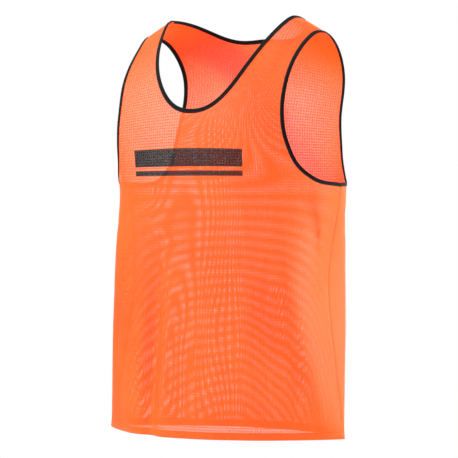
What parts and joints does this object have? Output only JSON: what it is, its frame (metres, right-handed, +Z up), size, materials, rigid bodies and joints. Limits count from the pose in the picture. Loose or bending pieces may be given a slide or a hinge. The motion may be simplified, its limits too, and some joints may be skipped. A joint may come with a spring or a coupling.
{
  "type": "training bib",
  "caption": "Sleeveless mesh vest in its worn, hollow shape, with a scoop neck, deep armholes, bound edges and a turned-up hem.",
  "frame": {"origin": "where the shoulders carry the garment: on its middle plane, level with the middles of the two straps, in the plane of the shoulder seams", "axes": "+Z up, the front faces -Y, the wearer's left is +X"},
  "size_m": [0.4712, 0.2701, 0.7026],
  "materials": {
    "mesh_cloth": "bright orange polyester mesh, small even holes, soft sheen",
    "binding": "matt black knitted strip, folded over the edge and stitched"
  },
  "bodies": {
    "root": {"front_panel": "mesh_cloth", "back_panel": "mesh_cloth", "neck_binding": "binding", "armhole_binding_left": "binding", "armhole_binding_right": "binding"}
  },
  "joints": []
}
